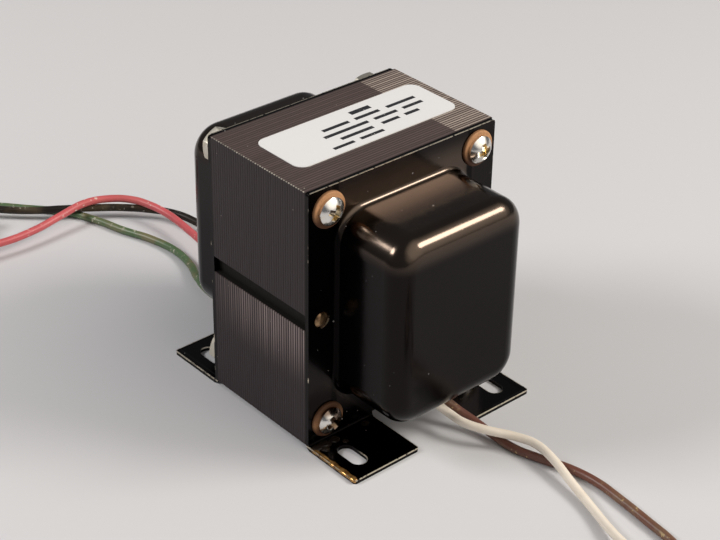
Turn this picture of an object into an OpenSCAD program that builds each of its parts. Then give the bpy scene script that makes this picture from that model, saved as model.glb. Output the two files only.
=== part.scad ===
// Audio transformer: an EI core that stands on end between two drawn end bells with bent feet,
// clamped by four through screws, with a layered coil inside and five free leads.
// The stack runs along X, the back of the E faces -Y, and the feet stand on Z = 0. Millimetres.

/* [Core] */
// Width of the centre leg of the E laminations
tongue_w = 25.4; // [20:0.1:32]
// Width of the top and bottom legs of the E laminations
leg_w = 12.7; // [12:0.1:16]
// Width of the back of the E and of the I bar
yoke_w = 12.7; // [12:0.1:16]
// Height of each winding window
window_h = 12.7; // [11:0.1:16]
// Length of each winding window
window_l = 38.1; // [30:0.1:50]
// Thickness of the lamination stack
stack_t = 38.1; // [25:0.1:60]
// Height of the notch across the back of the E
notch_h = 4.8; // [3:0.1:8]
// Depth of that notch
notch_d = 1.8; // [0.8:0.1:3]
// Spacing of the fine grooves that show between pairs of sheets
groove_pitch = 0.94; // [0.7:0.01:2]
// Width of those grooves
groove_w = 0.1; // [0.05:0.05:0.4]
// Depth of those grooves
groove_d = 0.1; // [0.05:0.05:0.4]
// Height of the core above the surface that the feet stand on
core_lift = 1.4; // [0.8:0.1:4]

/* [Coil] */
// Gap between the centre leg and the coil former
former_gap = 0.2; // [0.1:0.05:0.5]
// Wall of the coil former
former_wall = 1.2; // [0.8:0.1:2]
// Build of the secondary winding
secondary_t = 2.4; // [1.5:0.1:3]
// Thickness of each insulating layer between windings
insulation_t = 0.4; // [0.2:0.1:0.8]
// Thickness of the outer wrap
wrap_t = 0.5; // [0.3:0.1:1]
// Gap between one layer of the coil and the next
layer_gap = 0.1; // [0.05:0.05:0.2]
// Gap between the finished coil and the legs beside it
coil_gap = 1.7; // [0.6:0.1:2.4]
// Bare margin of the former at each end of the windings and their wrap
winding_margin = 1.6; // [1.4:0.1:3]

/* [Clamping screws] */
// Diameter of the screw shank
screw_d = 4.2; // [3.5:0.1:4.6]
// Diameter of the screw head
head_d = 7.6; // [7:0.1:9]
// Height of the screw head
head_h = 2.6; // [2.2:0.1:3.6]
// Straight side of the screw head below its dome
head_side = 0.8; // [0.4:0.1:1.4]
// Width of the arms of the cross recess
recess_w = 1.2; // [0.8:0.1:1.6]
// Span of the cross recess
recess_l = 4.6; // [3:0.1:5.5]
// Depth of the cross recess
recess_depth = 1.5; // [0.8:0.1:1.8]
// Wall of the insulating sleeve round each screw
sleeve_wall = 0.4; // [0.2:0.1:0.6]
// Clearance of a screw in its sleeve, and of the sleeve in its hole
screw_gap = 0.1; // [0.05:0.05:0.2]
// Diameter of the fibre washers
washer_d = 10.2; // [9.6:0.1:11.4]
// Thickness of the fibre washers
washer_t = 0.8; // [0.6:0.1:1.6]
// Radius of the rounded free edge of the fibre washers
washer_round = 0.5; // [0.2:0.1:0.5]
// Diameter of the spring lock washers
lock_d = 7.4; // [6.6:0.1:9]
// Thickness of the spring lock washers
lock_t = 1; // [0.6:0.1:1.4]
// Split in each lock washer
lock_split = 0.8; // [0.4:0.1:1.2]
// Width of the nuts across their flats
nut_af = 8.7; // [7.5:0.1:10]
// Height of the nuts
nut_h = 3.2; // [2.5:0.1:4]
// Length of screw that stands out of the nut
screw_tail = 1.6; // [0.5:0.1:4]

/* [End bells] */
// Thickness of the bell sheet
sheet_t = 1.2; // [0.8:0.1:1.6]
// Gap between the coil and the cup, below
cup_gap_low = 2; // [1.8:0.1:4]
// Gap between the coil and the cup, above
cup_gap_top = 3.8; // [1.8:0.1:4.4]
// Gap between the ends of the windows and the cup, at the sides
cup_gap_w = 2; // [1:0.1:3]
// Gap between the coil and the front of the cup
cup_gap_d = 12; // [9:0.1:16]
// Outer radius of the corners of the cup, seen from the front
cup_corner_r = 8.4; // [7.6:0.1:9.4]
// Outer radius between the front and the walls of the cup
cup_edge_r = 5.5; // [3:0.1:6.4]
// Radius of the bend between the cup and its flange
cup_bend_r = 1.5; // [1.2:0.1:2.4]
// Radius of the upper corners of the flange
flange_corner_r = 1; // [0.5:0.1:2]
// Diameter of the spare hole at each side of the flange
side_hole_d = 4.8; // [3:0.1:5.4]
// Distance of the spare hole from the edge of the flange
side_hole_inset = 4.4; // [3.6:0.1:5]

/* [Feet] */
// Width of each foot
foot_w = 22.4; // [16:0.1:25]
// Reach of each foot from the face of the core
foot_l = 20; // [18:0.1:26]
// Inner radius of the bend above each foot
foot_bend_r = 1; // [0.6:0.1:2]
// Radius of the corners of each foot
foot_corner_r = 0.8; // [0.4:0.1:2]
// Height of the cut-out between the feet
foot_gap_h = 4; // [3:0.1:8]
// Width of the slot in each foot
slot_w = 4.8; // [4:0.1:6]
// Length of that slot from end to end
slot_l = 9.6; // [8:0.1:12]
// Distance from the face of the core to the middle of the slot
slot_reach = 11; // [9.4:0.1:12]
// Distance from the outer edge of the foot to the middle of the slot
slot_inset = 6.8; // [5:0.1:10]

/* [Label] */
// Length of the label
label_l = 54.6; // [40:0.1:58]
// Width of the label
label_w = 18.9; // [12:0.1:22]
// Thickness of the label
label_t = 0.15; // [0.1:0.05:0.3]
// Radius of the corners of the label
label_corner_r = 3.2; // [1:0.1:6]
// Shift of the label towards the I bar
label_shift = 2; // [0:0.1:2.4]

/* [Leads] */
// Diameter of each lead
lead_d = 2.4; // [1.6:0.1:2.6]
// Diameter of the bared conductor
conductor_d = 1.2; // [0.6:0.1:1.4]
// Length of the bared end of each lead
tip_l = 6; // [4:0.1:8]
// Distance from the rounded front edge of the cup to the middle of the lead hole
lead_hole_inset = 5.9; // [5.8:0.1:7]
// Bore of the grommets
grommet_bore_d = 6.4; // [6.2:0.1:7]
// Diameter of the lead hole, which the grommet fills
lead_hole_d = 8.8; // [8.2:0.1:9.6]
// Diameter of the lips of the grommets
grommet_lip_d = 11; // [10.4:0.1:11.8]
// Thickness of each lip of the grommets
grommet_lip_t = 1.4; // [1:0.1:1.6]
// Diameter of the lead coils at the middle of their turns
lead_coil_d = 25.4; // [24:0.1:26]
// Width of the ties on the lead coils
tie_w = 3; // [2:0.1:5]
// Thickness of those ties
tie_t = 0.6; // [0.4:0.1:1]
// Gap between a coil and its tie
tie_gap = 0.2; // [0.1:0.05:0.4]
// Gap between a coil and the bared ends beside it
tip_gap = 0.3; // [0.2:0.1:0.8]

/* [Hidden] */
$fn = 64;

// Colours
core_colour = [0.12, 0.11, 0.11];
bell_colour = [0.03, 0.03, 0.03];
zinc_colour = [0.78, 0.77, 0.74];
fibre_colour = [0.47, 0.28, 0.15];
paper_colour = [0.78, 0.68, 0.48];
copper_colour = [0.72, 0.40, 0.20];
rubber_colour = [0.05, 0.05, 0.05];
label_colour = [0.93, 0.92, 0.89];
white_colour = [0.93, 0.90, 0.82];
brown_colour = [0.42, 0.24, 0.15];
red_colour = [0.80, 0.28, 0.24];
black_colour = [0.07, 0.06, 0.06];
green_colour = [0.22, 0.40, 0.24];
tie_colour = [0.85, 0.85, 0.83];

// Routes of the leads, from the coil to where each reaches its lead coil
white_route = [
    [31.4, -1.5, 22], [31.6, -1.4, 14.4], [32.4, -0.8, 11.6], [33.6, 0.4, 9.2], [35.2, 1.7, 7.2],
    [37.8, 2.6, 6], [42.4, 3, 5.6], [48, 5.6, 5.1], [54.6, 10.4, 4.3], [60, 12.6, 4],
    [67, 12, 3.5], [75.5, 9.8, 2.4], [86, 6.8, 1.6], [96.5, 3, 2.2], [107.5, -0.2, 3.4]
];
brown_route = [
    [31.4, 1.6, 22], [31.5, 1.6, 11.4], [32, 2.9, 8.9], [33.7, 5, 7], [36.8, 6.5, 5],
    [41.6, 8.1, 3.2], [48, 9, 1.8], [55, 9.6, 1.2], [63, 11.8, 1.2], [71, 14.6, 1.2],
    [79, 15.8, 1.2], [88, 15.2, 1.2], [98, 14, 1.2], [109, 12.2, 1.2], [119, 7.6, 1.3],
    [125, -0.6, 1.5], [126.8, -5.8, 1.6]
];
red_route = [
    [-33.1, 0.7, 22], [-33.1, 0.7, 12], [-34.2, 1, 9.6], [-37.4, 1.4, 7.6], [-43, 2.2, 6.4],
    [-54, 3.4, 5.8], [-72, 5.6, 5.2], [-86.5, 7.8, 4.8], [-98, 8.2, 5.2], [-105.2, 6.6, 5.8],
    [-111, 3.8, 6.2], [-116, -1.6, 6.3], [-118.6, -9, 6.2], [-118.2, -18.4, 5.2], [-117, -29, 4.4],
    [-117, -41, 4.4], [-119.6, -53.4, 5.2], [-126, -61.4, 6.4]
];
black_route = [
    [-30.5, 0.9, 22], [-30.5, 0.9, 12], [-31.2, 2.4, 9.6], [-33.6, 4.8, 7.4], [-38.4, 6.8, 5.8],
    [-47, 9, 4.8], [-63, 12, 3.8], [-80, 14.2, 3], [-92, 14.4, 2.8], [-99.5, 12.4, 3],
    [-106, 7.6, 3.4], [-112, 1.4, 3.7], [-118, -6, 3.7], [-123.8, -14.2, 3.7], [-130, -22, 3.2],
    [-136.5, -28.8, 3.2], [-142.4, -35, 4]
];
green_route = [
    [-31.8, -1.6, 22], [-31.8, -1.6, 12], [-32.8, -2.4, 9.4], [-35.6, -4, 7.2], [-41, -6.2, 5],
    [-49, -7.4, 3.6], [-57, -6.8, 2.7], [-65, -4.4, 2], [-74, -0.8, 1.4], [-84, 0.6, 1.2],
    [-94, -1, 1.2], [-104, -4.6, 1.2], [-114.5, -7.5, 1.2], [-125.5, -12.4, 1.2], [-135, -20.4, 1.2],
    [-144.6, -29.2, 1.2], [-152, -39.8, 1.5]
];
route_sides = 8;

// Lead coils: where each lies, how many turns of lead lie side by side and on each other
front_coil_at = [113, -17, 0];
front_coil_lanes = 2.8;
front_coil_levels = 2;
front_tie_turn = -70;
rear_coil_at = [-140, -52, 0];
rear_coil_lanes = 2.2;
rear_coil_levels = 3;
rear_tie_turn = 70;
// Angle by which the bared ends lean into the coil
tip_lean = 25;

// Sizes and places that follow from the driving ones
core_h = tongue_w + 2 * window_h + 2 * leg_w;
core_w = window_l + 2 * yoke_w;
core_mid_z = core_lift + core_h / 2;
core_top_z = core_lift + core_h;
face_x = stack_t / 2;
screw_y = (core_w - yoke_w) / 2;
screw_z = (core_h - leg_w) / 2;
sleeve_d = screw_d + 2 * (screw_gap + sleeve_wall);
screw_hole_d = sleeve_d + 2 * screw_gap;
clamp_x = face_x + sheet_t + washer_t;

// Distance of each face of the coil's layers from the centre leg
former_out = former_gap + former_wall;
coil_out = window_h - coil_gap;
primary_t = (coil_out - former_out - secondary_t - 2 * insulation_t - wrap_t - 6 * layer_gap) / 2;
inner_primary_in = former_out + layer_gap;
inner_insulation_in = inner_primary_in + primary_t + layer_gap;
secondary_in = inner_insulation_in + insulation_t + layer_gap;
outer_insulation_in = secondary_in + secondary_t + layer_gap;
outer_primary_in = outer_insulation_in + insulation_t + layer_gap;
outer_wrap_in = outer_primary_in + primary_t + layer_gap;
former_l = window_l - 2 * former_gap;
winding_l = former_l - 2 * winding_margin;

// Outside of the cup
cup_half_w = window_l / 2 + cup_gap_w + sheet_t;
cup_half_h = tongue_w / 2 + coil_out + (cup_gap_low + cup_gap_top) / 2 + sheet_t;
cup_rise = (cup_gap_top - cup_gap_low) / 2;
cup_depth = coil_out + cup_gap_d + sheet_t;
cup_bottom_z = core_mid_z + cup_rise - cup_half_h;
lead_hole_x = face_x + cup_depth - cup_edge_r - lead_hole_inset;
coil_lift = tie_t + tie_gap;

// A rectangle with round corners, centred on the origin
module round_rect(w, h, r) {
    square([w - 2 * r, h], center = true);
    square([w, h - 2 * r], center = true);
    for (sx = [-1, 1], sy = [-1, 1])
        translate([sx * (w / 2 - r), sy * (h / 2 - r)]) circle(r);
}

// Stands a flat outline, drawn in Y and Z, across the middle of the stack
module across_stack(depth) {
    rotate([90, 0, 90]) linear_extrude(depth, center = true) children();
}

// Turns a piece drawn upwards from the floor to stand out of the front face of the core
module on_front_face() {
    translate([face_x, 0, core_mid_z]) rotate([90, 0, 90]) children();
}

// One copy on the axis of each clamping screw, drawn along Z and laid along X
module at_screws(x) {
    for (sy = [-1, 1], sz = [-1, 1])
        translate([x, sy * screw_y, core_mid_z + sz * screw_z]) rotate([0, 90, 0]) children();
}

// A straight hole along each clamping screw, through the whole clamped stack
module screw_holes(d) {
    at_screws(0) cylinder(h = stack_t + 4 * sheet_t, d = d, center = true);
}

// Grooves between pairs of sheets, all round the outside of the core
module core_grooves() {
    each_side = floor((stack_t / 2 - groove_w) / groove_pitch);
    for (i = [-each_side:each_side])
        translate([i * groove_pitch, 0, core_mid_z]) across_stack(groove_w) difference() {
            square([core_w + 2 * groove_d, core_h + 2 * groove_d], center = true);
            square([core_w - 2 * groove_d, core_h - 2 * groove_d], center = true);
        }
}

module e_laminations() {
    back_y = -core_w / 2;
    color(core_colour) difference() {
        translate([0, 0, core_mid_z]) across_stack(stack_t) difference() {
            translate([back_y, -core_h / 2]) square([core_w - yoke_w, core_h]);
            for (sz = [-1, 1])
                translate([back_y + yoke_w, sz * (tongue_w + window_h) / 2 - window_h / 2])
                    square([core_w, window_h]);
            translate([back_y - notch_d, -notch_h / 2]) square([2 * notch_d, notch_h]);
        }
        core_grooves();
        screw_holes(screw_hole_d);
    }
}

module i_laminations() {
    color(core_colour) difference() {
        translate([0, (core_w - yoke_w) / 2, core_mid_z])
            cube([stack_t, yoke_w, core_h], center = true);
        core_grooves();
        screw_holes(screw_hole_d);
    }
}

// A layer of the coil: a tube round the centre leg, from one distance off the leg to another
module coil_layer(inside, thickness, length) {
    outside = inside + thickness;
    translate([0, 0, core_mid_z]) rotate([90, 0, 0]) linear_extrude(length, center = true) difference() {
        round_rect(stack_t + 2 * outside, tongue_w + 2 * outside, outside);
        round_rect(stack_t + 2 * inside, tongue_w + 2 * inside, inside);
    }
}

module coil_former() {
    color(paper_colour) coil_layer(former_gap, former_wall, former_l);
}

module inner_primary() {
    color(copper_colour) coil_layer(inner_primary_in, primary_t, winding_l);
}

module inner_insulation() {
    color(paper_colour) coil_layer(inner_insulation_in, insulation_t, former_l);
}

module secondary() {
    color(copper_colour) coil_layer(secondary_in, secondary_t, winding_l);
}

module outer_insulation() {
    color(paper_colour) coil_layer(outer_insulation_in, insulation_t, former_l);
}

module outer_primary() {
    color(copper_colour) coil_layer(outer_primary_in, primary_t, winding_l);
}

module outer_wrap() {
    color(paper_colour) coil_layer(outer_wrap_in, wrap_t, winding_l);
}

// Half of the cup's section: a wall with a round upper edge, and a bend out to the flange at its base.
// A section that cuts the hollow also reaches some way below its mouth.
module cup_half_section(half, height, edge_r, bend_r, base, below) {
    translate([0, -below]) square([half + (below > 0 ? bend_r : 0), below + base]);
    square([half, height - edge_r]);
    square([half - edge_r, height]);
    translate([half - edge_r, height - edge_r]) intersection() {
        circle(edge_r);
        square(edge_r);
    }
    translate([half, base]) difference() {
        square(bend_r);
        translate([bend_r, bend_r]) circle(bend_r);
    }
}

// A drawn cup over a rectangle with round corners, its mouth on Z = 0
module cup_form(half_w, half_h, height, corner_r, edge_r, bend_r, base, below) {
    flat_w = half_w - corner_r;
    flat_h = half_h - corner_r;
    rotate([90, 0, 90]) linear_extrude(2 * flat_w, center = true)
        for (m = [0, 1]) mirror([m, 0]) cup_half_section(half_h, height, edge_r, bend_r, base, below);
    for (m = [0, 1]) mirror([m, 0, 0]) {
        translate([flat_w, 0, 0]) rotate([90, 0, 0]) linear_extrude(2 * flat_h, center = true)
            cup_half_section(corner_r, height, edge_r, bend_r, base, below);
        for (n = [0, 1]) mirror([0, n, 0]) translate([flat_w, flat_h, 0]) rotate_extrude(angle = 90)
            cup_half_section(corner_r, height, edge_r, bend_r, base, below);
    }
}

// Flat outline of the flange, from the cut-out between the feet up to the top of the core
module flange_outline() {
    low = foot_gap_h - core_mid_z;
    high = core_h / 2;
    r = flange_corner_r;
    difference() {
        union() {
            translate([-core_w / 2, low]) square([core_w, high - low - r]);
            translate([-core_w / 2 + r, low]) square([core_w - 2 * r, high - low]);
            for (s = [-1, 1]) translate([s * (core_w / 2 - r), high - r]) circle(r);
        }
        for (s = [-1, 1]) translate([s * (core_w / 2 - side_hole_inset), 0]) circle(d = side_hole_d);
    }
}

// A rectangle whose corner at the origin is round
module heel_outline(w, h, r) {
    translate([r, 0]) square([w - r, h]);
    translate([0, r]) square([w, h - r]);
    translate([r, r]) circle(r);
}

// Section of a foot in X and Z: up the flange, round the bend and out along the floor
module foot_section() {
    leg_h = foot_gap_h + cup_bend_r;
    difference() {
        heel_outline(foot_l, leg_h, sheet_t + foot_bend_r);
        translate([sheet_t, sheet_t]) heel_outline(foot_l, leg_h, foot_bend_r);
    }
}

// What the foot's plan loses: its slot and the corners of its tip
module foot_cuts() {
    slot_run = (slot_l - slot_w) / 2;
    r = foot_corner_r;
    translate([slot_reach, slot_inset]) {
        square([2 * slot_run, slot_w], center = true);
        for (s = [-1, 1]) translate([s * slot_run, 0]) circle(d = slot_w);
    }
    for (m = [0, 1]) translate([foot_l, m * foot_w]) difference() {
        square(2 * r, center = true);
        translate([-r, (1 - 2 * m) * r]) circle(r);
    }
}

// One foot at the -Y side, with the bend and the strip that join it to the flange
module foot() {
    translate([face_x, -core_w / 2, 0]) difference() {
        translate([0, foot_w, 0]) rotate([90, 0, 0]) linear_extrude(foot_w) foot_section();
        translate([0, 0, -sheet_t]) linear_extrude(3 * sheet_t) foot_cuts();
    }
}

// The bell in front of the core: flange, cup and feet of one sheet
module bell() {
    color(bell_colour) difference() {
        union() {
            on_front_face() {
                linear_extrude(sheet_t) flange_outline();
                translate([0, cup_rise, 0])
                    cup_form(cup_half_w, cup_half_h, cup_depth,
                        cup_corner_r, cup_edge_r, cup_bend_r, sheet_t, 0);
            }
            foot();
            mirror([0, 1, 0]) foot();
        }
        on_front_face() translate([0, cup_rise, 0])
            cup_form(cup_half_w - sheet_t, cup_half_h - sheet_t, cup_depth - sheet_t,
                cup_corner_r - sheet_t, cup_edge_r - sheet_t, cup_bend_r + sheet_t, 0, sheet_t);
        screw_holes(screw_hole_d);
        translate([lead_hole_x, 0, cup_bottom_z]) cylinder(h = 4 * sheet_t, d = lead_hole_d, center = true);
    }
}

module front_bell() {
    bell();
}

module rear_bell() {
    mirror([1, 0, 0]) bell();
}

// A domed head with a cross recess, standing on Z = 0
module screw_head() {
    dome_h = head_h - head_side;
    dome_r = (pow(head_d / 2, 2) + pow(dome_h, 2)) / (2 * dome_h);
    difference() {
        rotate_extrude() intersection() {
            square([head_d / 2, head_h]);
            translate([0, head_h - dome_r]) circle(dome_r);
        }
        for (turn = [0, 90]) rotate(turn + 45)
            translate([-recess_l / 2, -recess_w / 2, head_h - recess_depth])
                cube([recess_l, recess_w, head_h]);
    }
}

module clamp_screws() {
    shank_l = 2 * clamp_x + lock_t + nut_h + screw_tail;
    color(zinc_colour) at_screws(clamp_x) {
        screw_head();
        translate([0, 0, -shank_l]) cylinder(h = shank_l, d = screw_d);
    }
}

module screw_sleeves() {
    sleeve_l = stack_t + 2 * sheet_t;
    color(fibre_colour) difference() {
        at_screws(0) cylinder(h = sleeve_l, d = sleeve_d, center = true);
        screw_holes(screw_d + 2 * screw_gap);
    }
}

// A fibre washer standing on Z = 0, its free edge at the top
module fibre_washer() {
    inner = screw_d / 2 + screw_gap;
    edge = washer_d / 2 - washer_round;
    color(fibre_colour) rotate_extrude() {
        translate([inner, 0]) square([edge - inner, washer_t]);
        translate([inner, 0]) square([washer_d / 2 - inner, washer_t - washer_round]);
        translate([edge, washer_t - washer_round]) intersection() {
            circle(washer_round);
            square(washer_round);
        }
    }
}

module front_fibre_washers() {
    at_screws(face_x + sheet_t) fibre_washer();
}

module rear_fibre_washers() {
    at_screws(-face_x - sheet_t) mirror([0, 0, 1]) fibre_washer();
}

module lock_washers() {
    color(zinc_colour) at_screws(-clamp_x - lock_t) linear_extrude(lock_t) difference() {
        circle(d = lock_d);
        circle(d = screw_d + 2 * screw_gap);
        translate([0, -lock_split / 2]) square([lock_d, lock_split]);
    }
}

module clamp_nuts() {
    color(zinc_colour) at_screws(-clamp_x - lock_t - nut_h) linear_extrude(nut_h) difference() {
        circle(d = nut_af / cos(30), $fn = 6);
        circle(d = screw_d + 2 * screw_gap);
    }
}

module label() {
    color(label_colour) translate([0, label_shift, core_top_z])
        linear_extrude(label_t) round_rect(label_w, label_l, label_corner_r);
}

// A rubber ring in the lead hole, with a lip on each side of the sheet
module grommet() {
    color(rubber_colour) translate([lead_hole_x, 0, cup_bottom_z]) rotate_extrude() {
        translate([grommet_bore_d / 2, -grommet_lip_t])
            square([(lead_hole_d - grommet_bore_d) / 2, sheet_t + 2 * grommet_lip_t]);
        for (z = [-grommet_lip_t, sheet_t])
            translate([grommet_bore_d / 2, z])
                square([(grommet_lip_d - grommet_bore_d) / 2, grommet_lip_t]);
    }
}

module front_grommet() {
    grommet();
}

module rear_grommet() {
    mirror([1, 0, 0]) grommet();
}

function unit(v) = v / norm(v);

// Direction of a route at one of its points
function route_tangent(route, i) =
    let (last = len(route) - 1)
    i == 0 ? unit(route[1] - route[0])
    : i == last ? unit(route[last] - route[last - 1])
    : unit(unit(route[i] - route[i - 1]) + unit(route[i + 1] - route[i]));

// Corners of the tube's section at one point of a route. The side axis is never along the route.
function route_ring(route, i, side) =
    let (
        along = route_tangent(route, i),
        across = unit(cross(along, [side, 0, 1])),
        up = cross(along, across)
    )
    [for (k = [0:route_sides - 1])
        let (turn = 360 * k / route_sides)
        route[i] + lead_d / 2 * (cos(turn) * across + sin(turn) * up)];

// A lead along a route that runs to one side, +1 or -1 along X
module lead_tube(route, side) {
    last = len(route) - 1;
    corners = [for (i = [0:last]) each route_ring(route, i, side)];
    walls = [for (i = [0:last - 1], k = [0:route_sides - 1])
        let (
            near = i * route_sides,
            far = near + route_sides,
            next = (k + 1) % route_sides
        )
        each [[near + next, near + k, far + k], [near + next, far + k, far + next]]];
    start = [for (k = [0:route_sides - 1]) k];
    end = [for (k = [route_sides - 1:-1:0]) last * route_sides + k];
    polyhedron(corners, concat(walls, [start, end]));
}

module white_lead() {
    color(white_colour) lead_tube(white_route, 1);
}

module brown_lead() {
    color(brown_colour) lead_tube(brown_route, 1);
}

module red_lead() {
    color(red_colour) lead_tube(red_route, -1);
}

module black_lead() {
    color(black_colour) lead_tube(black_route, -1);
}

module green_lead() {
    color(green_colour) lead_tube(green_route, -1);
}

// The length of lead that is wound up: a ring that lies on its tie
module lead_coil(at, lanes, levels) {
    translate(at) rotate_extrude() translate([lead_coil_d / 2, coil_lift + levels * lead_d / 2])
        round_rect(lanes * lead_d, levels * lead_d, lead_d / 2);
}

module front_lead_coil() {
    color(white_colour) lead_coil(front_coil_at, front_coil_lanes, front_coil_levels);
}

module rear_lead_coil() {
    color(red_colour) lead_coil(rear_coil_at, rear_coil_lanes, rear_coil_levels);
}

// A flat band round the section of a lead coil
module coil_tie(at, lanes, levels, turn) {
    inner_w = lanes * lead_d + 2 * tie_gap;
    inner_h = levels * lead_d + 2 * tie_gap;
    inner_r = lead_d / 2 + tie_gap;
    color(tie_colour) translate(at) rotate(turn) translate([lead_coil_d / 2, 0, tie_t + inner_h / 2])
        rotate([90, 0, 0]) linear_extrude(tie_w, center = true) difference() {
            round_rect(inner_w + 2 * tie_t, inner_h + 2 * tie_t, inner_r + tie_t);
            round_rect(inner_w, inner_h, inner_r);
        }
}

module front_coil_tie() {
    coil_tie(front_coil_at, front_coil_lanes, front_coil_levels, front_tie_turn);
}

module rear_coil_tie() {
    coil_tie(rear_coil_at, rear_coil_lanes, rear_coil_levels, rear_tie_turn);
}

// The bared end of a lead, inside its lead coil on one level: sense is +1 where the lead runs anticlockwise
module lead_tip(at, lanes, level, turn, sense) {
    reach = (lead_coil_d - lanes * lead_d - conductor_d) / 2 - tip_gap;
    color(zinc_colour) translate(at) rotate(turn)
        translate([reach, 0, coil_lift + (level - 0.5) * lead_d])
            rotate([0, 0, sense * tip_lean]) rotate([-90 * sense, 0, 0]) cylinder(h = tip_l, d = conductor_d);
}

module white_tip() {
    lead_tip(front_coil_at, front_coil_lanes, 2, 140, -1);
}

module brown_tip() {
    lead_tip(front_coil_at, front_coil_lanes, 1, 210, -1);
}

module red_tip() {
    lead_tip(rear_coil_at, rear_coil_lanes, 3, 310, -1);
}

module black_tip() {
    lead_tip(rear_coil_at, rear_coil_lanes, 2, 180, 1);
}

module green_tip() {
    lead_tip(rear_coil_at, rear_coil_lanes, 1, 210, 1);
}

e_laminations();
i_laminations();
coil_former();
inner_primary();
inner_insulation();
secondary();
outer_insulation();
outer_primary();
outer_wrap();
front_bell();
rear_bell();
clamp_screws();
screw_sleeves();
front_fibre_washers();
rear_fibre_washers();
lock_washers();
clamp_nuts();
label();
front_grommet();
rear_grommet();
white_lead();
brown_lead();
red_lead();
black_lead();
green_lead();
front_lead_coil();
rear_lead_coil();
front_coil_tie();
rear_coil_tie();
white_tip();
brown_tip();
red_tip();
black_tip();
green_tip();
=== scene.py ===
"""Looks of an audio transformer: finishes, leads, fasteners, floor, light and camera.

Lengths of finished pieces are metres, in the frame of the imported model: the lamination stack runs along X,
the back of the E laminations faces -Y, and the feet stand on Z = 0. Sizes in the classes below are
millimetres, as a maker would write them, and MM turns them into metres.
"""

import logging
import math
from dataclasses import dataclass, field
from enum import Enum
from functools import reduce
from typing import Any, Callable, Iterable

import bmesh
import bpy
from mathutils import Matrix, Vector


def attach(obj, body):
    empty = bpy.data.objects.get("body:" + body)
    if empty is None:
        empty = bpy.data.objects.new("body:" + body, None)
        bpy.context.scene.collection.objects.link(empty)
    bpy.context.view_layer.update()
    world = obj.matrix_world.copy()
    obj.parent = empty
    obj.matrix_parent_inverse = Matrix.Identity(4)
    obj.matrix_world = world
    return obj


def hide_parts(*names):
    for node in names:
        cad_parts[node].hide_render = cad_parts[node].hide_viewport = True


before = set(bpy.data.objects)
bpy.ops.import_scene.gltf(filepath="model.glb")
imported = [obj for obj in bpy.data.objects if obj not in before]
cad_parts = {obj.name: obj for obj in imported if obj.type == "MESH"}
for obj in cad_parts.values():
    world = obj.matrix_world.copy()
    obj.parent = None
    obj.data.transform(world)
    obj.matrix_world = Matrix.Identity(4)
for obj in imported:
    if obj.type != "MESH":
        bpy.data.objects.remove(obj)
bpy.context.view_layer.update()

LOG = logging.getLogger("transformer")
MM = 0.001
BODY = "root"
ALONG_STACK = Matrix.Rotation(math.radians(90.0), 4, "Y")

Point = tuple[float, float, float]
Colour = tuple[float, float, float, float]


@dataclass(frozen=True)
class PartSizes:
    """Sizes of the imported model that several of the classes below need."""

    mid_z: float = 39.5
    top_z: float = 77.6
    half_width: float = 31.75
    sheet: float = 1.2
    screw_y: float = 25.4
    screw_z: float = 31.75
    head_base_x: float = 21.05
    head_h: float = 2.6
    dome_r: float = 4.911
    spare_hole_y: float = 27.35
    lead: float = 2.4


PART = PartSizes()


def rgb(red: float, green: float, blue: float) -> Colour:
    """Gives an opaque colour from linear red, green and blue."""
    return (red, green, blue, 1.0)


def math_node(operation: str, swapped: bool = False) -> Callable[..., "Signal"]:
    """Makes a method of Signal that adds a Math node.

    Args:
        operation: Blender's name for the operation.
        swapped: Whether the signal comes after the other terms, as in 1 - mask.

    Returns:
        The method, which takes the other terms.
    """

    def method(self: "Signal", *others: Any) -> "Signal":
        """Adds the node on the terms, in order."""
        terms = (*others, self) if swapped else (self, *others)
        return self.paint.node("ShaderNodeMath", {"operation": operation}, dict(enumerate(terms)))

    return method


class Signal:
    """One output of a shader node. Arithmetic on it adds Math nodes to the same tree."""

    __add__ = math_node("ADD")
    __radd__ = math_node("ADD", swapped=True)
    __sub__ = math_node("SUBTRACT")
    __rsub__ = math_node("SUBTRACT", swapped=True)
    __mul__ = math_node("MULTIPLY")
    __rmul__ = math_node("MULTIPLY", swapped=True)
    __truediv__ = math_node("DIVIDE")
    __rtruediv__ = math_node("DIVIDE", swapped=True)
    __abs__ = math_node("ABSOLUTE")
    smaller = math_node("MINIMUM")
    larger = math_node("MAXIMUM")
    root = math_node("SQRT")
    whole = math_node("FLOOR")
    part = math_node("FRACT")

    def __init__(self, paint: "Paint", socket: bpy.types.NodeSocket) -> None:
        """Keeps the paint that the output belongs to, and the output."""
        self.paint = paint
        self.socket = socket

    def rise(self, low: float, high: float) -> "Signal":
        """Goes smoothly from 0 at low to 1 at high."""
        settings = {"interpolation_type": "SMOOTHSTEP"}
        return self.paint.node("ShaderNodeMapRange", settings, {0: self, 1: low, 2: high, 3: 0.0, 4: 1.0})

    def fall(self, low: float, high: float) -> "Signal":
        """Goes smoothly from 1 at low to 0 at high."""
        return 1.0 - self.rise(low, high)

    def near(self, middle: float, reach: float) -> "Signal":
        """Is 1 around a middle value and falls to 0 at some reach from it."""
        return abs(self - middle).fall(0.5 * reach, reach)

    def far(self, other: "Signal") -> "Signal":
        """Distance from an axis, where the two signals are the offsets from it."""
        return (self * self + other * other).root()

    def other(self, name: str) -> "Signal":
        """Another output of the same node."""
        return Signal(self.paint, self.socket.node.outputs[name])


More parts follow.
